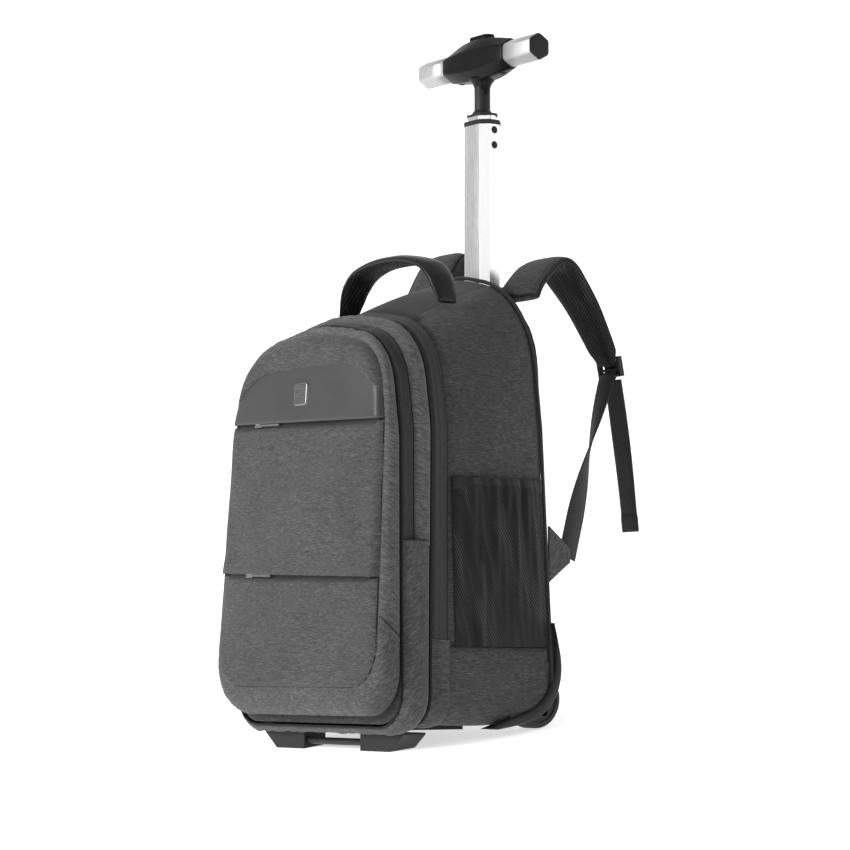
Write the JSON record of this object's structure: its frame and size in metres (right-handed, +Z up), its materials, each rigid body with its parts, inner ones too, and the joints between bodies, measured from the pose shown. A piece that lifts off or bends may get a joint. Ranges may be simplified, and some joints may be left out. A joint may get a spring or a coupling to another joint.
{
  "type": "wheeled laptop backpack",
  "caption": "Wheeled laptop backpack with a telescoping single-pole T-handle, front feet, corner wheels, mesh side pockets and padded shoulder straps.",
  "frame": {"origin": "on the floor, at the centre of the bounding box's footprint, standing on feet and wheels", "axes": "+X to the bag's left side as worn, -Y towards the front pocket, +Z up; the bag and its pole lean back 8.43 degrees towards +Y"},
  "size_m": [0.3082, 0.3679, 0.7116],
  "materials": {
    "heather_fabric": "matte",
    "padded_fabric": "matte",
    "black_mesh": "matte",
    "leatherette": "satin",
    "zip_tape": "matte",
    "black_webbing": "matte",
    "black_plastic": "satin",
    "grip_plastic": "satin",
    "aluminium": "satin",
    "steel": "satin",
    "plate_metal": "satin",
    "zip_metal": "gloss",
    "wheel_tyre": "matte"
  },
  "bodies": {
    "case": {"main_shell": "heather_fabric", "front_organiser": "heather_fabric", "front_pocket": "heather_fabric", "main_zip_band": "zip_tape", "organiser_zip_band": "zip_tape", "leather_panel": "leatherette", "name_plate": "plate_metal", "front_zip_tapes": "zip_tape", "mesh_pocket_left": "black_mesh", "mesh_pocket_right": "black_mesh", "pocket_bindings": "black_webbing", "back_panel": "padded_fabric", "rear_piping": "black_webbing", "back_board": "black_plastic", "laptop_divider": "padded_fabric", "base_tray": "black_plastic", "foot_left": "black_plastic", "foot_right": "black_plastic", "foot_grab_bar": "black_plastic", "wheel_housing_left": "black_plastic", "wheel_housing_right": "black_plastic", "wheel_axles": "steel", "outer_tube": "aluminium", "tube_collar": "black_plastic", "tube_socket": "black_plastic", "shoulder_strap_left": "padded_fabric", "shoulder_strap_right": "padded_fabric", "ladder_lock_left": "black_plastic", "ladder_lock_right": "black_plastic", "strap_webbing_left": "black_webbing", "strap_webbing_right": "black_webbing", "strap_tabs": "heather_fabric"},
    "middle_stage": {"middle_tube": "aluminium", "middle_rim": "black_plastic", "middle_bush": "black_plastic"},
    "handle_stage": {"inner_tube": "aluminium", "inner_bush": "black_plastic", "stem": "black_plastic", "grip_core": "black_plastic", "grip_sleeve_left": "aluminium", "grip_sleeve_right": "aluminium", "grip_end_caps": "black_plastic", "grip_housing_lower": "grip_plastic", "grip_housing_upper": "grip_plastic", "grip_screws": "steel"},
    "button": {"push_button": "grip_plastic", "push_rod": "steel"},
    "wheel_left": {"tyre_left": "wheel_tyre", "wheel_core_left": "black_plastic", "bearing_left": "steel"},
    "wheel_right": {"tyre_right": "wheel_tyre", "wheel_core_right": "black_plastic", "bearing_right": "steel"},
    "slider_upper": {"upper_slider": "zip_metal"},
    "pull_upper": {"upper_pull": "zip_metal"},
    "slider_lower": {"lower_slider": "zip_metal"},
    "pull_lower": {"lower_pull": "zip_metal"},
    "carry_handle": {"grab_handle": "leatherette"},
    "tail_left": {"strap_tail_left": "black_webbing"},
    "tail_right": {"strap_tail_right": "black_webbing"}
  },
  "joints": [
    {"name": "middle_slide", "type": "slide", "parent": "case", "child": "middle_stage", "axis": [0, 0.1466, 0.9892], "range_m": [-0.165, 0]},
    {"name": "handle_slide", "type": "slide", "parent": "middle_stage", "child": "handle_stage", "axis": [0, 0.1466, 0.9892], "range_m": [0, 0.185]},
    {"name": "button_press", "type": "slide", "parent": "handle_stage", "child": "button", "axis": [0, 0.1466, 0.9892], "range_m": [-0.005, 0], "stiffness_N_per_m": 600, "springref_m": 0.002},
    {"name": "wheel_left_spin", "type": "hinge", "parent": "case", "child": "wheel_left", "pos_m": [-0.137, 0.00297, 0.029], "axis": [1, 0, 0], "continuous": true},
    {"name": "wheel_right_spin", "type": "hinge", "parent": "case", "child": "wheel_right", "pos_m": [0.137, 0.00297, 0.029], "axis": [1, 0, 0], "continuous": true},
    {"name": "upper_zip_slide", "type": "slide", "parent": "case", "child": "slider_upper", "axis": [0.9994, -0.0074, -0.0343], "range_m": [-0.028, 0.16]},
    {"name": "upper_pull_swing", "type": "hinge", "parent": "slider_upper", "child": "pull_upper", "pos_m": [-0.0778, -0.13468, 0.33143], "axis": [0, -0.1466, -0.9892], "range_deg": [0, 95]},
    {"name": "lower_zip_slide", "type": "slide", "parent": "case", "child": "slider_lower", "axis": [0.9994, -0.0074, -0.0343], "range_m": [-0.028, 0.16]},
    {"name": "lower_pull_swing", "type": "hinge", "parent": "slider_lower", "child": "pull_lower", "pos_m": [-0.0778, -0.167, 0.18155], "axis": [0, -0.1466, -0.9892], "range_deg": [0, 95]},
    {"name": "carry_handle_tilt", "type": "hinge", "parent": "case", "child": "carry_handle", "pos_m": [0, -0.00367, 0.4344], "axis": [1, 0, 0], "range_deg": [-20, 40], "stiffness_Nm_per_rad": 0.4},
    {"name": "tail_left_swing", "type": "hinge", "parent": "case", "child": "tail_left", "pos_m": [-0.11, 0.18008, 0.33387], "axis": [1, 0, 0], "range_deg": [-15, 70]},
    {"name": "tail_right_swing", "type": "hinge", "parent": "case", "child": "tail_right", "pos_m": [0.11, 0.18008, 0.33387], "axis": [1, 0, 0], "range_deg": [-15, 70]}
  ]
}
